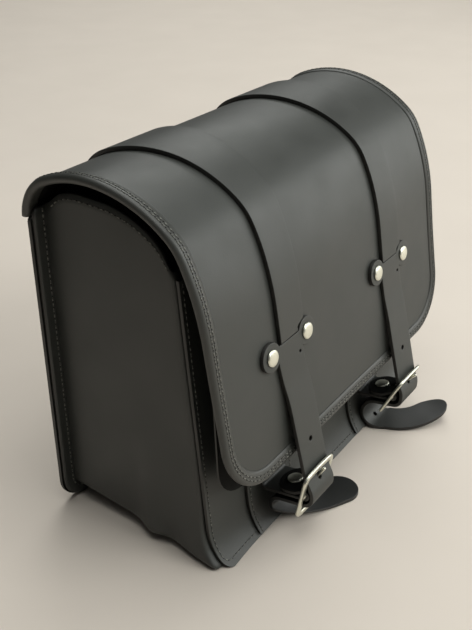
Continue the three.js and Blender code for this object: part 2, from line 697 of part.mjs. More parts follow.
// Rivet: a domed cap, a shank through the leather and a flat foot inside
function rivet({ point, outward, stack }) {
  const seat = FIT;
  const foot = -stack - seat;
  const profile = [
    [0, foot - RIVET.footHeight],
    [RIVET.foot, foot - RIVET.footHeight],
    [RIVET.foot, foot],
    [RIVET.shank, foot],
    [RIVET.shank, seat],
    [RIVET.cap, seat],
    [RIVET.cap * 0.75, seat + RIVET.capHeight * 0.75],
    [0, seat + RIVET.capHeight],
  ].map(([radius, height]) => new THREE.Vector2(radius, height));
  const turn = new THREE.Quaternion().setFromUnitVectors(new THREE.Vector3(0, 1, 0), outward);
  const lathe = new THREE.LatheGeometry(profile, 10).applyQuaternion(turn);
  return closed(lathe.translate(point.x, point.y, point.z));
}

function headRivetPlace(centre, side) {
  const { outward } = flapDirections();
  const point = new THREE.Vector3(...onFlap(centre + side * EAR_SPREAD, headAlong, FIT + STRAP_LEATHER));
  return { point, outward, stack: STRAP_LEATHER + FIT + FLAP_LEATHER };
}

// Assembly
const bag = new THREE.Group();

function add(name, geometry, colour, metal = false) {
  const material = new THREE.MeshStandardMaterial({
    color: colour,
    roughness: metal ? 0.25 : 0.55,
    metalness: metal ? 1 : 0,
  });
  const mesh = new THREE.Mesh(geometry, material);
  mesh.name = name;
  bag.add(mesh);
}

const sides = [
  { name: 'left', centre: -STRAP_CENTRE, side: STRAPS.left },
  { name: 'right', centre: STRAP_CENTRE, side: STRAPS.right },
];
const headRivets = sides.map(({ centre, side }) => (
  [-1, 1].map((ear) => headRivetPlace(centre + side.headShift, ear))
));

add('back_panel', backPanel(), LEATHER_COLOUR);
add('gusset', gusset(), LEATHER_COLOUR);
add('front_panel', frontPanel(), LEATHER_COLOUR);
add('flap', flap(headRivets.flat()), LEATHER_COLOUR);
add('flap_binding', flapBinding(), LEATHER_COLOUR);
add('inner_flap', innerFlap(), FLESH_COLOUR);
sides.forEach(({ name, centre, side }, i) => {
  const chapeLine = chapeWay(side);
  add(`top_band_${name}`, topBand(centre, side.headShift), LEATHER_COLOUR);
  add(`strap_${name}`, strap(centre, side), LEATHER_COLOUR);
  add(`front_band_${name}`, frontBand(centre), LEATHER_COLOUR);
  add(`chape_${name}`, chape(centre, side, chapeLine), LEATHER_COLOUR);
  add(`buckle_${name}`, buckle(centre, side), NICKEL_COLOUR, true);
  add(`prong_${name}`, prong(centre, side), NICKEL_COLOUR, true);
  headRivets[i].forEach((place, k) => {
    add(`strap_rivet_${name}_${k + 1}`, rivet(place), NICKEL_COLOUR, true);
  });
  add(`chape_rivet_${name}`, rivet(chapeRivetPlace(centre, chapeLine)), NICKEL_COLOUR, true);
});

// The origin is the middle of the whole bag's box, on the floor
const box = new THREE.Box3().setFromObject(bag);
const middle = box.getCenter(new THREE.Vector3());
bag.position.set(-middle.x, -middle.y, -box.min.z);

export default bag;
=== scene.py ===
import math
import bmesh
import bpy
import numpy as np
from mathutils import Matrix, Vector
from mathutils.geometry import delaunay_2d_cdt


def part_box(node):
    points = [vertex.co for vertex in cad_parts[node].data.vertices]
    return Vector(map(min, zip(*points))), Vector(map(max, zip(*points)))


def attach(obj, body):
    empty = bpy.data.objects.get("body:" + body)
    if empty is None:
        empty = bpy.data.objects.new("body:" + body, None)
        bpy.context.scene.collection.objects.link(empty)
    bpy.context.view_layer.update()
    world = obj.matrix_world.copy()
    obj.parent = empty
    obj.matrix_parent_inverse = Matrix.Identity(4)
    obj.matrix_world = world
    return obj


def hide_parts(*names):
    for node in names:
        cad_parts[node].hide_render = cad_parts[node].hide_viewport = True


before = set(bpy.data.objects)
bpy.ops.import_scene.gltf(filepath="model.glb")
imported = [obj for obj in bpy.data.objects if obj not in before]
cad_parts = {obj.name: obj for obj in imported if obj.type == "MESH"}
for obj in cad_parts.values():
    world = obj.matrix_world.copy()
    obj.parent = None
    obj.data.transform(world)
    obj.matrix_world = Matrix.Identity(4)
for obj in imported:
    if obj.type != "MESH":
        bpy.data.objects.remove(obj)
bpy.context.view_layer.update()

# Studio: the bag stands on a broad sheet of pale seamless paper, under soft lamps from above and from the
# front right, so its left side lies in shade.
MM = 0.001
FOCAL_PIXELS = 886
PICTURE_HEIGHT = 630
SENSOR = 36
BACK_FACE = 75.0
shift_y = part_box("back_panel")[1].y / MM - BACK_FACE


def metres(x, y, z):
    return Vector((x * MM, (y + shift_y) * MM, z * MM))


def linear(code):
    """An sRGB hex colour as linear red, green, blue and alpha."""
    parts = [int(code[i:i + 2], 16) / 255 for i in (1, 3, 5)]
    return [c / 12.92 if c <= 0.04045 else ((c + 0.055) / 1.055) ** 2.4 for c in parts] + [1.0]


def node(tree, kind, inputs=None, **settings):
    """Adds a node; an input is a value, or a socket that is linked to it."""
    made = tree.nodes.new(kind)
    for name, value in settings.items():
        setattr(made, name, value)
    for name, value in (inputs or {}).items():
        if isinstance(value, bpy.types.NodeSocket):
            tree.links.new(value, made.inputs[name])
        else:
            made.inputs[name].default_value = value
    return made


def material(name):
    made = bpy.data.materials.new(name)
    made.use_nodes = True
    tree = made.node_tree
    return made, tree, tree.nodes["Principled BSDF"]


camera_data = bpy.data.cameras.new("camera")
camera_data.sensor_width = SENSOR
camera_data.lens = FOCAL_PIXELS * SENSOR / PICTURE_HEIGHT
camera_data.clip_end = 20
camera = bpy.data.objects.new("camera", camera_data)
camera.location = metres(-521.2, -341.3, 468.5)
camera.rotation_euler = Vector((0.71572, 0.49692, -0.49073)).to_track_quat("-Z", "Y").to_euler()
bpy.context.collection.objects.link(camera)
bpy.context.scene.camera = camera

# warm off-white paper, matt, with a faint cloud in its tone
paper, tree, shader = material("seamless_paper")
place = node(tree, "ShaderNodeTexCoord").outputs["Object"]
cloud = node(tree, "ShaderNodeTexNoise", {"Vector": place, "Scale": 9.0, "Detail": 3.0})
tint = node(tree, "ShaderNodeMix", {"Factor": cloud.outputs["Fac"], 6: linear("#d1c7bd"),
                                    7: linear("#d8cec4")}, data_type="RGBA")
tree.links.new(tint.outputs[2], shader.inputs["Base Color"])
shader.inputs["Roughness"].default_value = 0.85
floor_mesh = bpy.data.meshes.new("floor")
floor_mesh.from_pydata([(-6, -6, 0), (6, -6, 0), (6, 6, 0), (-6, 6, 0)], [], [(0, 1, 2, 3)])
floor_mesh.materials.append(paper)
floor = bpy.data.objects.new("floor", floor_mesh)
bpy.context.collection.objects.link(floor)

world = bpy.data.worlds.new("studio")
world.use_nodes = True
world.node_tree.nodes["Background"].inputs["Color"].default_value = linear("#f3f4f1")
world.node_tree.nodes["Background"].inputs["Strength"].default_value = 0.05
bpy.context.scene.world = world
lamps = [
    {"name": "top_lamp", "at": (0.4, 0.2, 2.8), "to": (0.1, 0.1, 0.1), "size": 2.4, "watts": 44},
    {"name": "window_lamp", "at": (1.75, -1.35, 0.85), "to": (0, 0, 0.15), "size": 1.6, "watts": 24},
    {"name": "front_lamp", "at": (0.5, -2.3, 1.7), "to": (-0.1, 0, 0.1), "size": 1.4, "watts": 40},
    {"name": "floor_lamp", "at": (-0.55, -0.5, 1.7), "to": (-0.6, -0.55, 0), "size": 0.9, "watts": 5},
    {"name": "backdrop_lamp", "at": (2.3, 1.5, 2.2), "to": (1.9, 1.2, 0), "size": 1.6, "watts": 30},
]
for lamp in lamps:
    light = bpy.data.lights.new(lamp["name"], "AREA")
    light.shape = "SQUARE"
    light.size = lamp["size"]
    light.energy = lamp["watts"]
    light.color = linear("#fdfffb")[:3]
    made = bpy.data.objects.new(lamp["name"], light)
    made.location = lamp["at"]
    made.rotation_euler = (Vector(lamp["to"]) - made.location).to_track_quat("-Z", "Y").to_euler()
    bpy.context.collection.objects.link(made)
bpy.context.scene.view_settings.view_transform = "Standard"


# Back panel: one plate of thick black harness leather that the bag is carried by. Its lower corners are
# rounded, its edges are burnished, and the gusset's flange is sewn on along both sides and the bottom.
BACK_LEATHER = 3.0
BACK_HALF = 160.5
BACK_TOP = 241.0
BACK_CORNER = 21.0


def leather(name, colour, tone, roughness, grain_mm, relief, gloss=0.6):
    """Dyed leather: pores and creases of the hide's grain, with a cloudy tone from its dressing. Where a
    piece's shade attribute is 1, its colour is darkened to near black: painted shade."""
    made, tree, shader = material(name)
    place = node(tree, "ShaderNodeTexCoord").outputs["Object"]
    cloud = node(tree, "ShaderNodeTexNoise", {"Vector": place, "Scale": 1 / (38 * MM), "Detail": 4.0})
    pores = node(tree, "ShaderNodeTexVoronoi", {"Vector": place, "Scale": 1 / (grain_mm * MM)},
                 feature="DISTANCE_TO_EDGE")
    fine = node(tree, "ShaderNodeTexNoise", {"Vector": place, "Scale": 1 / (0.9 * MM), "Detail": 3.0})
    mixed = node(tree, "ShaderNodeMix", {"Factor": cloud.outputs["Fac"], 6: linear(colour),
                                         7: linear(tone)}, data_type="RGBA")
    # painted shade: the colour is darkened towards near black where the piece's attribute says so
    painted_shade = node(tree, "ShaderNodeAttribute", attribute_name="painted_shade")
    base_with_painted_shade = node(tree, "ShaderNodeMix", {"Factor": painted_shade.outputs["Fac"], 6: mixed.outputs[2],
                                        7: linear("#0b0c0c")}, data_type="RGBA")
    tree.links.new(base_with_painted_shade.outputs[2], shader.inputs["Base Color"])
    rough = node(tree, "ShaderNodeMapRange", {
        "Value": cloud.outputs["Fac"], "From Min": 0.3, "From Max": 0.7,
        "To Min": roughness - 0.05, "To Max": roughness + 0.06})
    tree.links.new(rough.outputs["Result"], shader.inputs["Roughness"])
    height = node(tree, "ShaderNodeMath", {0: pores.outputs["Distance"], 1: fine.outputs["Fac"]},
                  operation="ADD")
    bump = node(tree, "ShaderNodeBump", {"Height": height.outputs[0], "Strength": relief,
                                         "Distance": 0.12 * MM})
    tree.links.new(bump.outputs["Normal"], shader.inputs["Normal"])
    shader.inputs["IOR"].default_value = 1.5
    shader.inputs["Specular IOR Level"].default_value = gloss
    return made


# the dressed outside, black with a soft sheen that shows the pores
grain_leather = leather("satin_black_harness_leather", "#282a27", "#323431", 0.5, 1.3, 0.3)
# cut edges, dyed and rubbed smooth, a shade browner
edge_leather = leather("burnished_leather_edge", "#1a1917", "#24221f", 0.5, 0.9, 0.25)
# the hairy inner side, which swallows the light
flesh_leather = leather("black_suede_flesh_side", "#0d0d0c", "#161614", 0.85, 0.6, 0.8, 0.2)


def inside(loop, points):
    """Which points lie inside a closed loop."""
    a = np.asarray(loop)
    b = np.roll(a, -1, axis=0)
    u, v = points[:, 0, None], points[:, 1, None]
    crosses = (a[:, 1] > v) != (b[:, 1] > v)
    rise = np.where(b[:, 1] == a[:, 1], 1e-9, b[:, 1] - a[:, 1])
    return ((crosses & (u < a[:, 0] + (v - a[:, 1]) / rise * (b[:, 0] - a[:, 0]))).sum(1) % 2) == 1


def distance(loop, points):
    a = np.asarray(loop)
    along = np.roll(a, -1, axis=0) - a
    away = points[:, None] - a
    share = np.clip((away * along).sum(2) / np.maximum((along ** 2).sum(1), 1e-12), 0, 1)
    return np.sqrt(((away - share[..., None] * along) ** 2).sum(2)).min(1)


def arc(u, v, radius, start, end, steps=8):
    angles = [math.radians(start + (end - start) * i / steps) for i in range(steps + 1)]
    return [(u + radius * math.cos(a), v + radius * math.sin(a)) for a in angles]


def dense(loop, step):
    """The loop with its long straights divided."""
    made = []
    for (u0, v0), (u1, v1) in zip(loop, loop[1:] + loop[:1]):
        count = max(1, math.ceil(math.hypot(u1 - u0, v1 - v0) / step))
        made += [(u0 + (u1 - u0) * i / count, v0 + (v1 - v0) * i / count) for i in range(count)]
    return made


def cut_leather(name, outline, holes, columns, rows, place, replaced, bevel=0.45, painted_shade=None):
    """A piece of hide cut to a flat outline with holes, then bent: place(u, v, face) gives a point of it in
    millimetres, with face 0 on the flesh side and 1 on the grain side. The last argument, a function of v,
    says how far its colour is darkened to near black as painted shade."""
    loops = [outline, *holes]
    points = [p for loop in loops for p in loop]
    edges = []
    for loop in loops:
        first = len(edges)
        edges += [(first + i, first + (i + 1) % len(loop)) for i in range(len(loop))]
    grid = np.array([(u, v) for v in rows for u in columns], float)
    keep = inside(outline, grid)
    for loop in loops:
        keep &= distance(loop, grid) > 0.8
    for hole in holes:
        keep &= ~inside(hole, grid)
    points += [tuple(p) for p in grid[keep]]
    flat, _, faces, *_ = delaunay_2d_cdt([Vector(p) for p in points], edges, [], 1, 1e-5)
    middles = np.array([[sum(flat[i][k] for i in f) / 3 for k in (0, 1)] for f in faces])
    gone = np.zeros(len(faces), bool)
    for hole in holes:
        gone |= inside(hole, middles)
    faces = [f for f, g in zip(faces, gone) if not g]
    bm = bmesh.new()
    # a layer for the painted shade, set alike on both faces' points
    painted_shade_layer = bm.verts.layers.float.new("painted_shade")
    grain = [bm.verts.new(metres(*place(p[0], p[1], 1))) for p in flat]
    flesh = [bm.verts.new(metres(*place(p[0], p[1], 0))) for p in flat]
    if painted_shade:
        for p, a, b in zip(flat, grain, flesh):
            a[painted_shade_layer] = b[painted_shade_layer] = painted_shade(p[1])
    used = {}
    for f in faces:
        bm.faces.new([grain[i] for i in f]).material_index = 0
        bm.faces.new([flesh[i] for i in reversed(f)]).material_index = 2
        for i, j in zip(f, f[1:] + f[:1]):
            used[(i, j)] = True
    for i, j in used:
        if (j, i) not in used:
            bm.faces.new([grain[j], grain[i], flesh[i], flesh[j]]).material_index = 1
    return finish_leather(bm, name, replaced, bevel)


def finish_leather(bm, name, replaced, bevel):
    """Rounds the cut edges a little and puts the piece in the frame."""
    for v in [v for v in bm.verts if not v.link_faces]:
        bm.verts.remove(v)
    bmesh.ops.recalc_face_normals(bm, faces=bm.faces)
    for face in bm.faces:
        face.smooth = True
    mesh = bpy.data.meshes.new(name)
    bm.to_mesh(mesh)
    bm.free()
    for finish in (grain_leather, edge_leather, flesh_leather):
        mesh.materials.append(finish)
    made = bpy.data.objects.new(name, mesh)
    bpy.context.collection.objects.link(made)
    if bevel:
        rounding = made.modifiers.new("rounded_edges", "BEVEL")
        rounding.width = bevel * MM
        rounding.segments = 2
        rounding.limit_method = "ANGLE"
        rounding.angle_limit = math.radians(40)
        normals = made.modifiers.new("even_normals", "WEIGHTED_NORMAL")
        normals.keep_sharp = True
    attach(made, "root")
    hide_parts(*replaced)
    return made


def steps(low, high, step):
    count = max(1, round(abs(high - low) / step))
    return [low + (high - low) * i / count for i in range(count + 1)]


back_outline = dense([(BACK_HALF - 3, BACK_TOP), (-BACK_HALF + 3, BACK_TOP)]
                     + arc(-BACK_HALF + 3, BACK_TOP - 3, 3, 90, 180, 3)[1:]
                     + arc(-BACK_HALF + BACK_CORNER, BACK_CORNER, BACK_CORNER, 180, 270)
                     + arc(BACK_HALF - BACK_CORNER, BACK_CORNER, BACK_CORNER, 270, 360)
                     + arc(BACK_HALF - 3, BACK_TOP - 3, 3, 0, 90, 3)[:-1], 8)
cut_leather("back_panel_leather", back_outline, [], steps(-152, 152, 8), steps(6, 235, 8),
            lambda u, v, face: (u, BACK_FACE - (1 - face) * BACK_LEATHER, v), ["back_panel"], 0.7)


# Front panel: a plate of the same leather, bellied in the middle and flared out where it meets the floor.
# It is sewn round to the gusset's front flange, a little inside its edge.
BODY_LEATHER = 2.5
FIT = 0.3
FRONT_TOP = 222.0
FRONT_HALF = 147.5
FRONT_CORNER = 9.0
FRONT_TOP_Y = -39.5
FRONT_LEAN = 0.1
FRONT_BELLY = 3
FLARE_HEIGHT = 32.0
FLARE_OUT = 9.5
FLARE_ENDS = 5.5


def front_face(x, z):
    """Y of the front panel's outer face."""
    share = min(abs(x) / FRONT_HALF, 1) ** 2
    lean = FRONT_TOP_Y - FRONT_LEAN * (FRONT_TOP - z) - FRONT_BELLY * (1 - share)
    flare = max(0, (FLARE_HEIGHT - z) / FLARE_HEIGHT) ** 2.5
    return lean - flare * (FLARE_OUT + FLARE_ENDS * share ** 2)


front_outline = dense([(FRONT_HALF, FRONT_TOP), (-FRONT_HALF, FRONT_TOP)]
                      + arc(-FRONT_HALF + FRONT_CORNER, FRONT_CORNER, FRONT_CORNER, 180, 270)
                      + arc(FRONT_HALF - FRONT_CORNER, FRONT_CORNER, FRONT_CORNER, 270, 360), 4)
cut_leather("front_panel_leather", front_outline, [], steps(-144, 144, 6),
            steps(2.5, 34, 2.5) + steps(40, 218, 8),
            lambda u, v, face: (u, front_face(u, v) + (1 - face) * BODY_LEATHER, v), ["front_panel"], 0.5)


# Gusset: one long strip that makes the left side, the floor and the right side. It turns out into a flange
# on the back panel and in behind the front panel. Its free top edges are stitched, and each side sags in low
# down.
GUSSET_BACK = {"half": 149.5, "floor": 10.5, "corner": 11.0}
GUSSET_FRONT = {"half": 147.5, "floor": 1.0, "corner": 5.0}
TOE_OUT = 6.5
TOE_HEIGHT = 34
DENT_DEPTH = 8
DENT_HEIGHT = 60
SAG_DEPTH = 1.6
gusset_back_y = BACK_FACE - BACK_LEATHER - FIT
# columns from back to front: share of the depth, height of the top edge, and at the folds how far out and
# how far ahead the grain and the flesh side lie
gusset_strip = [
    {"share": 0, "top": 247, "grain": (10, 2.5), "flesh": (10, 0)},
    {"share": 0, "top": 247, "grain": (5.5, 2.5), "flesh": (5.5, 0)},
    {"share": 0, "top": 247.5, "grain": (0, 2.5), "flesh": (-2.0, 0.3)},
    {"share": 0, "top": 248, "grain": (0, 4.4), "flesh": (-2.5, 2.6)},
    {"share": 0.05, "top": 252.5},
    {"share": 0.1, "top": 257},
    {"share": 0.18, "top": 260},
    {"share": 0.26, "top": 261},
    {"share": 0.34, "top": 261},
    {"share": 0.42, "top": 260.5},
    {"share": 0.47, "top": 260.2},
    {"share": 0.52, "top": 260},
    {"share": 0.55, "top": 259.5},
    {"share": 0.58, "top": 259},
    {"share": 0.62, "top": 258},
    {"share": 0.66, "top": 257},
    {"share": 0.73, "top": 254.6},
    {"share": 0.8, "top": 251},
    {"share": 0.86, "top": 247.2},
    {"share": 0.92, "top": 242},
    {"share": 0.97, "top": 233},
    {"share": 1, "top": 226, "grain": (0, 2), "flesh": (-2.5, 4.5)},
    {"share": 1, "top": 226, "grain": (-2, 0), "flesh": (-4.5, 2.5)},
    {"share": 1, "top": 226, "grain": (-9, 0), "flesh": (-9, 2.5)},
]
side_shares = steps(0, 0.72, 0.06) + [0.77, 0.82, 0.86, 0.89, 0.92, 0.95, 0.975, 1]
corner_rows = 6
floor_rows = 20
gusset_rows = 2 * (len(side_shares) - 1 + corner_rows) + floor_rows


def bell(value, middle, width):
    return math.exp(-(((value - middle) / width) ** 2))


def ease(value, low, high):
    t = min(max((value - low) / (high - low), 0), 1)
    return t * t * (3 - 2 * t)


def gusset_ring(row, share, top, out):
    half, floor_z, corner = (GUSSET_BACK[k] + (GUSSET_FRONT[k] - GUSSET_BACK[k]) * share
                             for k in ("half", "floor", "corner"))
    rounding = max(corner + out, 0.5)
    bend, low = half + out - rounding, floor_z - out
    sides = len(side_shares) - 1
    from_end = min(row, gusset_rows - row)
    sign = -1 if row <= gusset_rows / 2 else 1
    if from_end <= sides:
        step = int(min(math.floor(from_end), sides - 1))
        part = side_shares[step] + (side_shares[step + 1] - side_shares[step]) * (from_end - step)
        return sign * (half + out), top + (low + rounding - top) * part
    if from_end <= sides + corner_rows:
        angle = math.pi / 2 * (from_end - sides) / corner_rows
        return sign * (bend + rounding * math.cos(angle)), low + rounding * (1 - math.sin(angle))
    along = (row - sides - corner_rows) / floor_rows
    return bend * (2 * along - 1), low


def gusset_point(row, column, face):
    strip = gusset_strip[column]
    edge = strip.get("grain" if face else "flesh")
    out = edge[0] if edge else (face - 1) * BODY_LEATHER
    x, z = gusset_ring(row, strip["share"], strip["top"], out)
    behind = front_face(x, z) + BODY_LEATHER + 4 * FIT
    outer = abs(x) / GUSSET_BACK["half"]
    at_side = ease(outer, 0.85, 0.97)
    toe = TOE_OUT * math.exp(-((z / TOE_HEIGHT) ** 2)) * at_side
    toe *= ease(strip["share"], 0.5, 1) * ease(out, -6, -2)
    if edge and strip["share"] == 0:
        return x, gusset_back_y - edge[1], z
    if edge:
        return x + math.copysign(toe, x), behind + edge[1], z
    y = gusset_back_y - 4.6 + (behind + 2 - gusset_back_y + 4.6) * strip["share"]
    dent = DENT_DEPTH * bell(y, -11, 12) * math.exp(-((z / DENT_HEIGHT) ** 2)) * at_side
    sag = SAG_DEPTH * bell(y, 25, 30) * bell(z, 120, 70) * ease(outer, 0.9, 0.97)
    lift = bell(y, -9, 22) * outer ** 6 * max(0, 1 - z / 60)
    return x + math.copysign(toe - dent - sag, x), y, z + lift


bm = bmesh.new()
columns = len(gusset_strip)
grid = [[[bm.verts.new(metres(*gusset_point(r, c, face))) for c in range(columns)]
         for r in range(gusset_rows + 1)] for face in (0, 1)]
for r in range(gusset_rows):
    for c in range(columns - 1):
        for face in (0, 1):
            g = grid[face]
            wall = bm.faces.new([g[r][c], g[r][c + 1], g[r + 1][c + 1], g[r + 1][c]])
            wall.material_index = 0 if face else 2
    for c in (0, columns - 1):
        bm.faces.new([grid[0][r][c], grid[0][r + 1][c], grid[1][r + 1][c], grid[1][r][c]]).material_index = 1
for c in range(columns - 1):
    for r in (0, gusset_rows):
        bm.faces.new([grid[0][r][c], grid[0][r][c + 1], grid[1][r][c + 1], grid[1][r][c]]).material_index = 1
crease = bm.edges.layers.float.new("crease_edge")
for edge in bm.edges:
    if len({f.material_index for f in edge.link_faces}) > 1:
        edge[crease] = 0.8
for r in range(gusset_rows):
    fold = bm.edges.get([grid[1][r][2], grid[1][r + 1][2]])
    fold[crease] = 1.0
    fold.smooth = False
gusset = finish_leather(bm, "gusset_leather", ["gusset"], 0)
soften = gusset.modifiers.new("soft_folds", "SUBSURF")
soften.levels = soften.render_levels = 1


# Flap: a broad sheet that comes up from behind, over the top and down the front to rounded corners. It has
# kept a slight wave from wear, which everything that lies on it shares.
FLAP_LEATHER = 3.0
FLAP_HALF = 159.0
FLAP_CORNER = 42.0
FLAP_WAVE = 0.35


def way(start, heading, runs):
    """A line in the YZ plane of straights (length,) and arcs (turn in degrees, radius); left is positive.
    Returns at(distance, lift), the run starts and the whole length."""
    parts = []
    for run in runs:
        if len(run) == 1:
            parts.append((run[0], 0.0))
        else:
            parts.append((run[1] * abs(math.radians(run[0])), math.copysign(1 / run[1], run[0])))
    starts = [sum(p[0] for p in parts[:i]) for i in range(len(parts))]

    def at(distance, lift=0.0):
        y, z, angle, left = start[0], start[1], math.radians(heading), distance
        for i, (length, bend) in enumerate(parts):
            step = left if i == len(parts) - 1 else min(left, length)
            turned = angle + step * bend
            y += (math.sin(turned) - math.sin(angle)) / bend if bend else step * math.cos(angle)
            z += (math.cos(angle) - math.cos(turned)) / bend if bend else step * math.sin(angle)
            angle = turned
            left -= step
            if left <= 0:
                break
        return y + lift * math.sin(angle), z - lift * math.cos(angle), angle

    return at, starts, starts[-1] + parts[-1][0]


flap_at, _, flap_end = way((BACK_FACE + 1.5 * FIT + FLAP_LEATHER, 224.5), 90,
                           [(14,), (66.7, 35), (62.7, 96.7), (23.5, 41), (17.7, 189), (113,)])


def on_flap(x, along, lift):
    fade = ease(along, 60, 120)
    broad = math.sin(x / 31 + along / 47) * math.sin(along / 39 + 0.6)
    wave = FLAP_WAVE * fade * (broad + 0.5 * math.sin(x / 17 - along / 23))
    y, z, _ = flap_at(along, lift + wave)
    return x, y, z


flap_outline = dense([(-150, 0.2), (150, 0.2), (150, 14), (FLAP_HALF, 16)]
                     + arc(FLAP_HALF - FLAP_CORNER, flap_end - FLAP_CORNER, FLAP_CORNER, 0, 90, 14)
                     + arc(-FLAP_HALF + FLAP_CORNER, flap_end - FLAP_CORNER, FLAP_CORNER, 90, 180, 14)
                     + [(-FLAP_HALF, 16), (-150, 14)], 4)
HEAD = flap_end - 81.5
STRAP_CENTRE = 75.0
EAR_SPREAD = 22.2
head_centres = {"left": -STRAP_CENTRE - 5, "right": STRAP_CENTRE - 3}
rivet_holes = [arc(centre + ear * EAR_SPREAD, HEAD, 2.2, 0, 324, 9)
               for centre in head_centres.values() for ear in (-1, 1)]
cut_leather("flap_leather", flap_outline, rivet_holes, steps(-156, 156, 5.2),
            steps(2.5, flap_end - 2.5, 3.6),
            lambda u, v, face: on_flap(u, v, (face - 1) * FLAP_LEATHER), ["flap"], 0.5)


# Binding: a strip of thinner leather folded round the flap's sides and lower edge. It is skived thin towards
# its inner border, where two rows of stitching hold it.
side_alongs = steps(17, flap_end - FLAP_CORNER, 3)
binding_left = [(-FLAP_HALF, along, 1.0, 0.0) for along in side_alongs[:-1]]
bend_x, bend_along = FLAP_HALF - FLAP_CORNER, flap_end - FLAP_CORNER
for angle in steps(0, math.pi / 2, math.pi / 36):
    binding_left.append((-bend_x - FLAP_CORNER * math.cos(angle), bend_along + FLAP_CORNER * math.sin(angle),
                         math.cos(angle), -math.sin(angle)))
binding_floor = [(x, flap_end, 0.0, -1.0) for x in steps(-bend_x, bend_x, 6)[1:-1]]
binding_right = [(-x, a, -ix, ia) for x, a, ix, ia in reversed(binding_left)]
binding_path = binding_left + binding_floor + binding_right
# how far in, then the height of the outer and the inner side off the flap; one number alone is an angle
# round the fold
binding_section = (
    [(7.5, 0.25, 0.06), (6.0, 0.8, 0.3), (5.0, 1.15, 0.4), (3.5, 1.45, 0.45), (1.5, 1.6, 0.45)]
    + [(90 - 15 * i,) for i in range(13)]
    + [(1.5, -1.65, -0.45), (4.0, -1.55, -0.45), (6.0, -1.3, -0.45), (7.5, -0.85, -0.45)])


def binding_point(station, part, outer):
    x, along, in_x, in_along = station
    if len(part) == 3:
        inward = part[0]
        rise = part[1] if outer else part[2]
        lift = rise if rise > 0 else rise - FLAP_LEATHER
    else:
        radius = FLAP_LEATHER / 2 + (1.65 if outer else 0.45)
        inward = 0.3 - radius * math.cos(math.radians(part[0]))
        lift = -FLAP_LEATHER / 2 + radius * math.sin(math.radians(part[0]))
    return on_flap(x + inward * in_x, along + inward * in_along, lift)


bm = bmesh.new()
grid = [[[bm.verts.new(metres(*binding_point(s, p, outer))) for p in binding_section] for s in binding_path]
        for outer in (0, 1)]
last = len(binding_section) - 1
for r in range(len(binding_path) - 1):
    for c in range(last):
        for outer in (0, 1):
            g = grid[outer]
            wall = bm.faces.new([g[r][c], g[r][c + 1], g[r + 1][c + 1], g[r + 1][c]])
            wall.material_index = 0 if outer else 2
    for c in (0, last):
        bm.faces.new([grid[0][r][c], grid[0][r + 1][c], grid[1][r + 1][c], grid[1][r][c]]).material_index = 1
for c in range(last):
    for r in (0, len(binding_path) - 1):
        bm.faces.new([grid[0][r][c], grid[0][r][c + 1], grid[1][r][c + 1], grid[1][r][c]]).material_index = 1
binding = finish_leather(bm, "flap_binding_leather", ["flap_binding"], 0)
# thinner glove leather, a little glossier, coloured paler than the flap: painted light on its rolled bead
binding.data.materials[0] = leather("binding_leather_with_painted_light", "#2e2f2c", "#383936", 0.45, 1.0, 0.3)


# Inner flap: a thin soft layer of leather with its flesh side out, sewn inside the flap. It hangs straight,
# and its lower edge shows under the flap's corner.
INNER_SEAM = 215
INNER_LEATHER = 1.5
INNER_HALF = 150
INNER_CORNER = 28
INNER_LOW = (-71, 61)
inner_top = flap_at(INNER_SEAM, -FLAP_LEATHER - FIT)
inner_fall = math.hypot(INNER_LOW[0] - inner_top[0], INNER_LOW[1] - inner_top[1])
inner_bend = INNER_HALF - INNER_CORNER
inner_outline = dense([(-INNER_HALF, 0), (INNER_HALF, 0)]
                      + arc(inner_bend, inner_fall - INNER_CORNER, INNER_CORNER, 0, 90)
                      + arc(-inner_bend, inner_fall - INNER_CORNER, INNER_CORNER, 90, 180), 5)


def inner_point(u, v, face):
    share = v / inner_fall
    y = inner_top[0] + (INNER_LOW[0] - inner_top[0]) * share + (1 - face) * INNER_LEATHER
    return u, y, inner_top[1] + (INNER_LOW[1] - inner_top[1]) * share


inner = cut_leather("inner_flap_leather", inner_outline, [], steps(-144, 144, 8),
                    steps(4, inner_fall - 4, 6), inner_point, ["inner_flap"], 0.3)
inner.data.materials[0] = flesh_leather


# Top bands: raised straps of thick leather sewn over the flap, broad at the back and tapering to the T-heads
# in front. Their cut edges stand up sharp.
STRAP_LEATHER = 3.0
EAR_RADIUS = 10.5
HEAD_TOP = 4.0
BAND_BACK = 28
BAND_FRONT = 15


def band_half(along):
    return BAND_BACK + (BAND_FRONT - BAND_BACK) * ease(along, 40, 200)


EAR_GAP = EAR_RADIUS + 2 * FIT
for name, centre in (("left", -STRAP_CENTRE), ("right", STRAP_CENTRE)):
    shift = head_centres[name] - centre
    rows = [(a, -band_half(a), band_half(a)) for a in steps(0.3, HEAD - EAR_GAP, 3)[:-1]]
    for above in (EAR_GAP, 10.4, 9.6, 8.8, 8, 7.2, 6.4, 5.5, HEAD_TOP + 2 * FIT):
        clear = EAR_SPREAD - math.sqrt(EAR_GAP ** 2 - above ** 2)
        nick = 2.4 * bell(above, 8, 2)
        rows.append((HEAD - above, -min(BAND_FRONT, clear - shift), min(BAND_FRONT, clear + shift) - nick))
    band_outline = [(left, a) for a, left, _ in rows] + [(right, a) for a, _, right in reversed(rows)]
    cut_leather(f"top_band_{name}_leather", dense(band_outline, 5), [], steps(-26, 26, 5.2),
                steps(2.5, HEAD - 6, 3),
                lambda u, v, face, centre=centre: on_flap(centre + u, v, FIT + face * STRAP_LEATHER),
                [f"top_band_{name}"], 0.4)


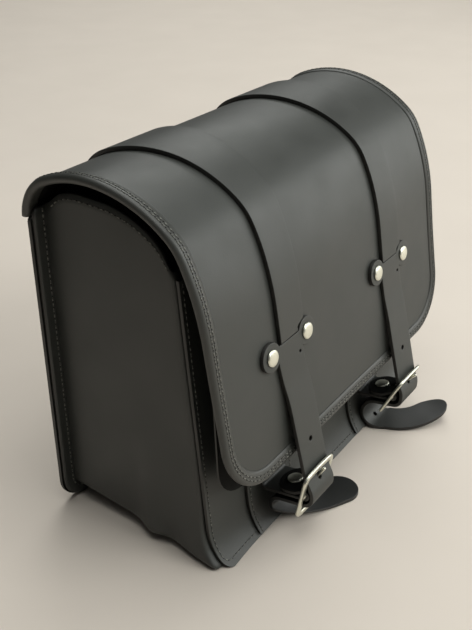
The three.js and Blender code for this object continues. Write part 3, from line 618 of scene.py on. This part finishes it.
# Straps: T-headed straps riveted to the flap below the bands. Each runs behind its buckle's end bar, out
# through the upper window, round the centre bar, back through the lower window and in a loop to the floor.
STRAP_HALF = 15.0
CENTRE_BAR = 1.6
PRONG_RADIUS = 1.2
strap_start = flap_at(HEAD + 2, FIT + STRAP_LEATHER / 2)
# the last two keys of each strap give the run from which painted shade darkens its loose end, and the length
# over which it deepens
straps = {
    "left": {
        "centre": -STRAP_CENTRE, "bar": (-101.2, 42.3), "lean": 10.0, "prong_tip": (-109.0, 61.8),
        "runs": [(19.5,), (-5, 110), (69.2,), (-13, 18), (8.8,), (27.6, 13), (1,), (80, 8.2), (20.5,),
                 (-80, 9), (-45, 5.5), (16.76,), (-45.2, 12)],
        "holes": (-31, 31, 62), "swing_from": 11, "swing": 63, "ease": 1.43, "drift": 45,
        "sweep": 2, "length": 20, "rise": 0, "roll": 0, "painted_shade_from": 8, "painted_shade_over": 20.5},
    "right": {
        "centre": STRAP_CENTRE, "bar": (-97.2, 42.3), "lean": 25.8, "prong_tip": (-110.8, 61.3),
        "runs": [(19.5,), (-5, 110), (72.2,), (-13, 18), (2.8,), (27.6, 13), (3,), (80, 8), (16,),
                 (-170.2, 14.88)],
        "holes": (-31, 31, 72), "swing_from": 9, "swing": 18, "ease": 6, "drift": 7.9,
        "sweep": 66, "length": 53, "rise": 4, "roll": 11, "painted_shade_from": 9, "painted_shade_over": 80},
}


def strap_point(strap, u, v, face):
    """A point of a strap across its width u, at a distance v, on one face."""
    y, z, _ = strap["at"](min(v, strap["end"]), (face - 0.5) * STRAP_LEATHER)
    share = min(max((v - strap["loose"]) / (strap["end"] - strap["loose"]), 0), 1) ** strap["ease"]
    swing = math.radians(strap["swing"])
    run = max(0.0, v - strap["end"])
    curve = strap["length"] / math.radians(strap["sweep"])
    turned = swing * share + run / curve
    x = strap["centre"] + strap["shift"] * (1 - ease(v, 0, 45)) + strap["drift"] * share
    if run:
        x += curve * (math.cos(swing) - math.cos(turned))
        y -= curve * (math.sin(turned) - math.sin(swing))
    rise = (strap["rise"] + strap["roll"] * (1 - u / STRAP_HALF) / 2) * (run / strap["length"]) ** 2
    return x + u * math.cos(turned), y + u * math.sin(turned), z + rise


for name, strap in straps.items():
    strap["at"], starts, strap["end"] = way(strap_start[:2], 260.6, strap["runs"])
    strap["loose"] = starts[strap["swing_from"]]
    strap["shift"] = head_centres[name] - strap["centre"]
    painted_shade_start = starts[strap["painted_shade_from"]]
    ring = CENTRE_BAR + FIT + PRONG_RADIUS
    bar, tip = strap["bar"], strap["prong_tip"]
    strap["hook"] = [(bar[0] + ring * math.cos(math.radians(d)), bar[1] + ring * math.sin(math.radians(d)))
                     for d in (235, 280, 325, 25)]
    back = strap["hook"][-1]
    off_prong = {}
    for v in steps(starts[3], starts[6], 0.1):
        y, z, _ = strap["at"](v)
        off_prong[v] = abs((y - back[0]) * (tip[1] - back[1]) - (z - back[1]) * (tip[0] - back[0]))
    strap["hole"] = min(off_prong, key=off_prong.get)
    whole = strap["end"] + strap["length"]
    ear_in = STRAP_HALF - EAR_SPREAD
    neck = math.degrees(math.atan2(math.sqrt(EAR_RADIUS ** 2 - ear_in ** 2), ear_in))
    shoulder = 180 + math.degrees(math.asin(HEAD_TOP / EAR_RADIUS))
    strap_outline = (arc(EAR_SPREAD, -2, EAR_RADIUS, shoulder, 360 + neck, 24)
                     + arc(0, whole - STRAP_HALF, STRAP_HALF, 0, 180, 20)
                     + arc(-EAR_SPREAD, -2, EAR_RADIUS, 180 - neck, 540 - shoulder, 24))
    slot = strap["hole"] - 1.0
    punched = [arc(0, slot, 2.0, 180, 360, 8) + arc(0, slot + 2.0, 2.0, 0, 180, 8)]
    punched += [arc(0, strap["hole"] + k, 2.0, 0, 330, 11) for k in strap["holes"]]
    punched += [arc(side * EAR_SPREAD, -2, 2.2, 0, 324, 9) for side in (-1, 1)]
    punched += [arc(11, 8.7, 1.3, 0, 324, 9)]
    # towards its loose end the strap is darkened to near black: painted shade and a painted dark reflection
    # of the bag, where the tongue lies low and turns from the light
    cut_leather(f"strap_{name}_leather", dense(strap_outline, 1.4), punched, steps(-28, 28, 4),
                steps(-10, whole - 1, 1.4),
                lambda u, v, face, strap=strap: strap_point(strap, u, v, face), [f"strap_{name}"], 0.4,
                lambda v, low=painted_shade_start, over=strap["painted_shade_over"]: 0.85 * ease(v, low, low + over))


# Front bands: flat upright pieces of the body's leather, sewn on the front panel behind the buckles. They
# follow its belly and its flare down to the floor.
FRONT_BAND_HALF = 29
FRONT_BAND_LOW = 2
FRONT_BAND_TOP = 84
for name, centre in (("left", -STRAP_CENTRE), ("right", STRAP_CENTRE)):
    band_outline = dense([(-FRONT_BAND_HALF, FRONT_BAND_LOW), (FRONT_BAND_HALF, FRONT_BAND_LOW),
                          (FRONT_BAND_HALF, FRONT_BAND_TOP), (-FRONT_BAND_HALF, FRONT_BAND_TOP)], 2.5)
    cut_leather(f"front_band_{name}_leather", band_outline, [], steps(-26, 26, 4), steps(4.5, 82, 2.5),
                lambda u, v, face, c=centre: (c + u, front_face(c + u, v) - FIT - face * BODY_LEATHER, v),
                [f"front_band_{name}"], 0.4)


# Chapes: straps sewn to the front bands. Each turns out from the band, passes under the buckle's centre bar
# and comes back over it on itself, flesh side up, where a rivet holds it; a slot lets the prong through.
CHAPE_TOP = 78.0
CHAPE_RISE = 9.0
CLOSING = 24.0
chape_lift = 2 * FIT + BODY_LEATHER
bar_distance = CENTRE_BAR + 1.5 * FIT + BODY_LEATHER / 2
chape_start = (front_face(STRAP_CENTRE, CHAPE_TOP) - chape_lift - BODY_LEATHER / 2, CHAPE_TOP)
chape_heading = 270 - math.degrees(math.atan(0.1))


def chape_point(strap, u, v, face):
    y, z, _ = strap["chape_at"](v, (face - 0.5) * BODY_LEATHER)
    x = strap["centre"] + u
    on_band = 1 - ease(v, strap["chape_starts"][1], strap["chape_starts"][2])
    return x, y + on_band * (front_face(x, z) - front_face(strap["centre"], z)), z


for name, strap in straps.items():
    outward = 180 - CHAPE_RISE
    bend_at, _, bend_end = way(chape_start, chape_heading, [(outward - chape_heading, 4)])
    corner = Vector(bend_at(bend_end)[:2])
    bar = Vector(strap["bar"])
    run_out = Vector((math.cos(math.radians(outward)), math.sin(math.radians(outward))))
    above = Vector((run_out.y, -run_out.x))
    down_way = Vector((math.cos(math.radians(chape_heading)), math.sin(math.radians(chape_heading))))
    down = ((bar - corner).dot(above) - bar_distance) / down_way.dot(above)
    reach = (bar - corner - down * down_way).dot(run_out)
    closing = math.radians(CLOSING)
    apart = bar_distance * (1 + math.cos(closing)) - 10 * (1 - math.cos(closing))
    strap["chape_at"], starts, chape_end = way(chape_start, chape_heading, [
        (down,), (outward - chape_heading, 4), (reach,), (-180 - CLOSING, bar_distance),
        ((apart - BODY_LEATHER - 1.5 * FIT) / math.sin(closing),), (CLOSING, 10), (16,)])
    strap["chape_starts"] = starts
    strap["rivet_along"] = starts[6] + 5
    under = starts[3] + (Vector(strap["chape_at"](strap["rivet_along"])[:2]) - bar).dot(run_out)
    chape_outline = [(STRAP_HALF, 0), (-STRAP_HALF, 0)]
    chape_outline += [(-STRAP_HALF * math.cos(a), chape_end - 12 + 12 * math.sin(a))
                      for a in steps(0, math.pi, math.pi / 18)]
    slot = arc(0, starts[3] - 6, 2.2, 180, 360, 6) + arc(0, starts[4] + 5.6, 2.2, 0, 180, 6)
    punched = [dense(slot, 1.2), arc(0, strap["rivet_along"], 2.3, 0, 324, 9), arc(0, under, 2.3, 0, 324, 9)]
    cut_leather(f"chape_{name}_leather", dense(chape_outline, 1.3), punched, steps(-13, 13, 2.6),
                steps(1.2, chape_end - 1, 1.2),
                lambda u, v, face, strap=strap: chape_point(strap, u, v, face), [f"chape_{name}"], 0.35)


# Buckles and prongs: a cast frame with a centre bar, held in the chape, and a wire prong hooked round the
# bar. Both are steel, plated and polished.
# nickel plate, warm and bright, a little hazy from handling
nickel, tree, shader = material("polished_nickel_plate")
place = node(tree, "ShaderNodeTexCoord").outputs["Object"]
haze = node(tree, "ShaderNodeTexNoise", {"Vector": place, "Scale": 1 / (2.5 * MM), "Detail": 5.0})
gloss = node(tree, "ShaderNodeMapRange", {"Value": haze.outputs["Fac"], "To Min": 0.28, "To Max": 0.44})
tree.links.new(gloss.outputs["Result"], shader.inputs["Roughness"])
shader.inputs["Base Color"].default_value = linear("#e2e2d4")
shader.inputs["Metallic"].default_value = 1.0


def nickel_piece(bm, name, replaced):
    bmesh.ops.recalc_face_normals(bm, faces=bm.faces)
    for face in bm.faces:
        face.smooth = True
    mesh = bpy.data.meshes.new(name)
    bm.to_mesh(mesh)
    bm.free()
    mesh.materials.append(nickel)
    made = bpy.data.objects.new(name, mesh)
    bpy.context.collection.objects.link(made)
    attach(made, "root")
    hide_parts(*replaced)
    return made


BUCKLE_REACH = 17.8
BUCKLE_HALF = 18
BUCKLE_CORNER = 4.5
END_BOW = 1.5
LIMB_HALF = 2.6
LIMB_THICK = 1.3
FLATNESS = 0.55
across = Vector((1, 0, 0))
corner_u, corner_v = BUCKLE_HALF - BUCKLE_CORNER, BUCKLE_REACH - BUCKLE_CORNER
buckle_line = dense(arc(corner_u, -corner_v, BUCKLE_CORNER, -90, 0, 7)
                    + arc(corner_u, corner_v, BUCKLE_CORNER, 0, 90, 7)
                    + arc(-corner_u, corner_v, BUCKLE_CORNER, 90, 180, 7)
                    + arc(-corner_u, -corner_v, BUCKLE_CORNER, 180, 270, 7), 2)


def tube(bm, rings, closed):
    """Joins rings of points into a skin, round to the first ring or with a cap at each end."""
    made = [[bm.verts.new(metres(*p)) for p in ring] for ring in rings]
    sides = len(made[0])
    for a, b in zip(made, made[1:] + made[:1] if closed else made[1:]):
        for k in range(sides):
            bm.faces.new([a[k], a[(k + 1) % sides], b[(k + 1) % sides], b[k]])
    if not closed:
        bm.faces.new(made[0])
        bm.faces.new(made[-1])


for name, strap in straps.items():
    lean = math.radians(strap["lean"])
    ahead = Vector((0, -math.sin(lean), math.cos(lean)))
    outward = across.cross(ahead)
    middle = Vector((strap["centre"], *strap["bar"]))
    rings = []
    for i, (u, v) in enumerate(buckle_line):
        before, after = buckle_line[i - 1], buckle_line[(i + 1) % len(buckle_line)]
        tangent = Vector((after[0] - before[0], after[1] - before[1])).normalized()
        at_end = ease(abs(v), corner_v, BUCKLE_REACH)
        bowed = math.copysign(END_BOW * at_end * (1 - (u / BUCKLE_HALF) ** 2), v)
        ring = []
        for k in range(16):
            a = 2 * math.pi * k / 16
            side = (LIMB_HALF - 0.1 * at_end) * math.copysign(abs(math.cos(a)) ** FLATNESS, math.cos(a))
            thick = LIMB_THICK * math.copysign(abs(math.sin(a)) ** FLATNESS, math.sin(a))
            ring.append(middle + across * (u + side * tangent.y) + ahead * (v + bowed - side * tangent.x)
                        + outward * thick)
        rings.append(ring)
    bm = bmesh.new()
    tube(bm, rings, True)
    round_bar = [ahead * math.cos(math.pi * k / 8) + outward * math.sin(math.pi * k / 8) for k in range(16)]
    tube(bm, [[middle + across * x + CENTRE_BAR * d for d in round_bar] for x in (-17.5, 0, 17.5)], False)
    nickel_piece(bm, f"buckle_{name}_nickel", [f"buckle_{name}"])


def smooth_line(points, count):
    """A Catmull-Rom line through points."""
    made = []
    ends = [points[0] * 2 - points[1], *points, points[-1] * 2 - points[-2]]
    for i in range(1, len(ends) - 2):
        p0, p1, p2, p3 = ends[i - 1:i + 3]
        for k in range(count):
            t = k / count
            made.append(0.5 * (2 * p1 + (p2 - p0) * t + (2 * p0 - 5 * p1 + 4 * p2 - p3) * t ** 2
                               + (3 * p1 - p0 - 3 * p2 + p3) * t ** 3))
    return made + [points[-1]]


for name, strap in straps.items():
    hook = [Vector((strap["centre"], *p)) for p in strap["hook"]]
    tip = Vector((strap["centre"], *strap["prong_tip"]))
    line = smooth_line(hook + [hook[3].lerp(tip, share) for share in (0.3, 0.65, 1)], 8)
    rings = []
    for i, p in enumerate(line):
        tangent = (line[min(i + 1, len(line) - 1)] - line[max(i - 1, 0)]).normalized()
        normal = across.cross(tangent)
        size = PRONG_RADIUS * (0.6 if i in (0, len(line) - 1) else 1)
        turns = [2 * math.pi * k / 10 for k in range(10)]
        rings.append([p + size * (across * math.cos(a) + normal * math.sin(a)) for a in turns])
    bm = bmesh.new()
    tube(bm, rings, False)
    nickel_piece(bm, f"prong_{name}_nickel", [f"prong_{name}"])


# Rivets: domed nickel caps on shanks that are set through punched holes, with a flat foot at the back. There
# are two in each T-head and one in each chape's folded end.
RIVET_SIDES = 28


def rivet(name, point, direction, stack):
    """A rivet with its cap at a point, through a stack of leather of this thickness."""
    seat = FIT
    foot = -stack - seat
    profile = [(0, foot - 1.2), (4.2, foot - 1.2), (4.5, foot - 0.9), (4.5, foot), (1.8, foot), (1.8, seat)]
    profile += [(5.7, seat), (6.0, seat + 0.3), (5.9, seat + 0.8), (5.5, seat + 1.2), (4.8, seat + 1.45),
                (3.2, seat + 1.65), (1.6, seat + 1.75), (0, seat + 1.8)]
    turn = Vector((0, 0, 1)).rotation_difference(direction).to_matrix()
    bm = bmesh.new()
    rings = []
    for radius, height in profile:
        ring = []
        for k in range(RIVET_SIDES if radius else 1):
            a = 2 * math.pi * k / RIVET_SIDES
            place = point + turn @ Vector((radius * math.cos(a), radius * math.sin(a), height))
            ring.append(bm.verts.new(metres(*place)))
        rings.append(ring)
    for a, b in zip(rings, rings[1:]):
        for k in range(RIVET_SIDES):
            corners = {a[k % len(a)]: 0, a[(k + 1) % len(a)]: 0, b[(k + 1) % len(b)]: 0, b[k % len(b)]: 0}
            bm.faces.new(list(corners))
    made = nickel_piece(bm, f"{name}_nickel", [name])
    made.data.set_sharp_from_angle(angle=math.radians(50))


head_angle = flap_at(HEAD)[2]
head_out = Vector((0, math.sin(head_angle), -math.cos(head_angle)))
for name, strap in straps.items():
    y, z, _ = flap_at(HEAD, FIT + STRAP_LEATHER)
    for k, side in enumerate((-1, 1)):
        ear = Vector((head_centres[name] + side * EAR_SPREAD, y, z))
        rivet(f"strap_rivet_{name}_{k + 1}", ear, head_out, STRAP_LEATHER + FIT + FLAP_LEATHER)
    y, z, angle = strap["chape_at"](strap["rivet_along"], -BODY_LEATHER / 2)
    rivet(f"chape_rivet_{name}", Vector((strap["centre"], y, z)),
          Vector((0, -math.sin(angle), math.cos(angle))), 2 * BODY_LEATHER + 1.5 * FIT)


# Stitching: two rows of waxed black thread through the flap's binding, one round the front panel, one along
# each hem of the gusset, one through its back flange and one down each edge of the front bands.
thread, tree, shader = material("waxed_black_thread")
# two twisted plies catch the light in short slanting bands; drawn thicker than real, so that it shows
place = node(tree, "ShaderNodeTexCoord").outputs["Object"]
plies = node(tree, "ShaderNodeTexWave", {"Vector": place, "Scale": 1 / (5 * MM), "Distortion": 1.5},
             bands_direction="DIAGONAL")
twist = node(tree, "ShaderNodeMix", {"Factor": plies.outputs["Fac"], 6: linear("#3c3c38"),
                                     7: linear("#74746d")}, data_type="RGBA")
tree.links.new(twist.outputs[2], shader.inputs["Base Color"])
shader.inputs["Roughness"].default_value = 0.55
needle_hole, tree, shader = material("pricked_needle_hole")
# the awl's holes: raw fibres deep in shade, uneven in tone
place = node(tree, "ShaderNodeTexCoord").outputs["Object"]
fibres = node(tree, "ShaderNodeTexNoise", {"Vector": place, "Scale": 1 / (0.4 * MM)})
raw = node(tree, "ShaderNodeMix", {"Factor": fibres.outputs["Fac"], 6: linear("#0c0c0b"),
                                   7: linear("#1b1a18")}, data_type="RGBA")
tree.links.new(raw.outputs[2], shader.inputs["Base Color"])
shader.inputs["Roughness"].default_value = 0.9

bead_rows = bpy.data.node_groups.new("beads_along_lines", "GeometryNodeTree")
for name, kind in (("Lines", "Geometry"), ("Pitch", "Float"), ("Shift", "Float"), ("Size", "Vector"),
                   ("Finish", "Material")):
    bead_rows.interface.new_socket(name, in_out="INPUT", socket_type=f"NodeSocket{kind}")
bead_rows.interface.new_socket("Beads", in_out="OUTPUT", socket_type="NodeSocketGeometry")
given = node(bead_rows, "NodeGroupInput").outputs
curve = node(bead_rows, "GeometryNodeMeshToCurve", {"Mesh": given["Lines"]})
spaced = node(bead_rows, "GeometryNodeResampleCurve", {"Curve": curve.outputs[0], "Length": given["Pitch"]},
              mode="LENGTH")
tangent = node(bead_rows, "GeometryNodeInputTangent")
normal = node(bead_rows, "GeometryNodeInputNamedAttribute", {"Name": "surface_normal"},
              data_type="FLOAT_VECTOR")
along = node(bead_rows, "FunctionNodeAlignRotationToVector", {"Vector": tangent.outputs[0]}, axis="X")
turned = node(bead_rows, "FunctionNodeAlignRotationToVector",
              {"Rotation": along.outputs[0], "Vector": normal.outputs[0]}, axis="Z", pivot_axis="X")
ball = node(bead_rows, "GeometryNodeMeshUVSphere", {"Segments": 8, "Rings": 4, "Radius": 0.5})
aside = node(bead_rows, "ShaderNodeCombineXYZ", {"X": given["Shift"]})
bead = node(bead_rows, "GeometryNodeTransform", {
    "Geometry": ball.outputs["Mesh"], "Translation": aside.outputs[0], "Scale": given["Size"]})
placed = node(bead_rows, "GeometryNodeInstanceOnPoints", {
    "Points": spaced.outputs[0], "Instance": bead.outputs[0], "Rotation": turned.outputs[0]})
real = node(bead_rows, "GeometryNodeRealizeInstances", {"Geometry": placed.outputs[0]})
faced = node(bead_rows, "GeometryNodeSetMaterial", {
    "Geometry": real.outputs[0], "Material": given["Finish"]})
node(bead_rows, "NodeGroupOutput", {"Beads": faced.outputs[0]})


def beads(name, lines, **inputs):
    """Sets beads along lines of (point, normal) and leaves a plain mesh."""
    points, joins, normals = [], [], []
    for line in lines:
        joins += [(len(points) + i, len(points) + i + 1) for i in range(len(line) - 1)]
        points += [metres(*p) for p, _ in line]
        normals += [c for _, n in line for c in n]
    mesh = bpy.data.meshes.new(f"{name}_lines")
    mesh.from_pydata(points, joins, [])
    mesh.attributes.new("surface_normal", "FLOAT_VECTOR", "POINT").data.foreach_set("vector", normals)
    made = bpy.data.objects.new(name, mesh)
    bpy.context.collection.objects.link(made)
    rows = made.modifiers.new("rows", "NODES")
    rows.node_group = bead_rows
    for socket in bead_rows.interface.items_tree:
        if socket.name in inputs:
            rows[socket.identifier] = inputs[socket.name]
    plain = bpy.data.meshes.new_from_object(made.evaluated_get(bpy.context.evaluated_depsgraph_get()))
    made.modifiers.clear()
    made.data = plain
    plain.shade_smooth()
    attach(made, "root")


def stitches(name, lines, pitch, lift=0.15):
    """Thread and needle holes along lines of (u, v) on a piece that place(u, v, lift) puts in space."""
    made = []
    for place, line in lines:
        pairs = []
        for u, v in line:
            low, high = Vector(place(u, v, lift)), Vector(place(u, v, lift + 1))
            pairs.append((low, (high - low).normalized()))
        made.append(pairs)
    beads(f"{name}_thread", made, Pitch=pitch * MM, Shift=0.0, Finish=thread,
          Size=[0.72 * pitch * MM, 0.95 * MM, 0.7 * MM])
    beads(f"{name}_needle_holes", made, Pitch=pitch * MM, Shift=pitch / 2 * MM, Finish=needle_hole,
          Size=[1.1 * MM, 1.0 * MM, 0.4 * MM])


binding_rows = []
for inward, rise in ((1.2, 1.62), (3.6, 1.43)):
    binding_rows.append((lambda u, v, lift, rise=rise: on_flap(u, v, rise + lift),
                         [(x + inward * ix, a + inward * ia) for x, a, ix, ia in binding_path]))
stitches("flap_binding", binding_rows, 4.5)
front_seam = ([(-144.5, v) for v in steps(218, 10, 3)] + arc(-138.5, 10, 6, 180, 270)
              + [(u, 4) for u in steps(-138.5, 138.5, 3)[1:-1]] + arc(138.5, 10, 6, 270, 360)
              + [(144.5, v) for v in steps(10, 218, 3)[1:]])
stitches("front_panel", [(lambda u, v, lift: (u, front_face(u, v) - lift, v), front_seam)], 4.4)


def on_gusset(row, column, lift):
    """A point on the gusset's outer side, between its rows and columns."""
    first = int(min(column, columns - 2))
    a, b = Vector(gusset_point(row, first, 1)), Vector(gusset_point(row, first + 1, 1))
    inner_a, inner_b = Vector(gusset_point(row, first, 0)), Vector(gusset_point(row, first + 1, 0))
    share = column - first
    point = a.lerp(b, share)
    return point + (point - inner_a.lerp(inner_b, share)).normalized() * lift


wall_columns = [4 + 0.5 * i for i in range(33)]
hems = [(on_gusset, [(row, c) for c in wall_columns]) for row in (0.3, gusset_rows - 0.3)]
stitches("gusset_hems", hems, 4.4)
stitches("gusset_flange", [(on_gusset, [(row, 1.6) for row in steps(0.2, gusset_rows - 0.2, 0.2)])], 4.4)
stitches("front_bands", [(lambda u, v, lift: (u, front_face(u, v) - FIT - BODY_LEATHER - lift, v),
                          [(side * STRAP_CENTRE + edge, v) for v in steps(4, 82, 3)])
                         for side in (-1, 1) for edge in (-26, 26)], 4.4)
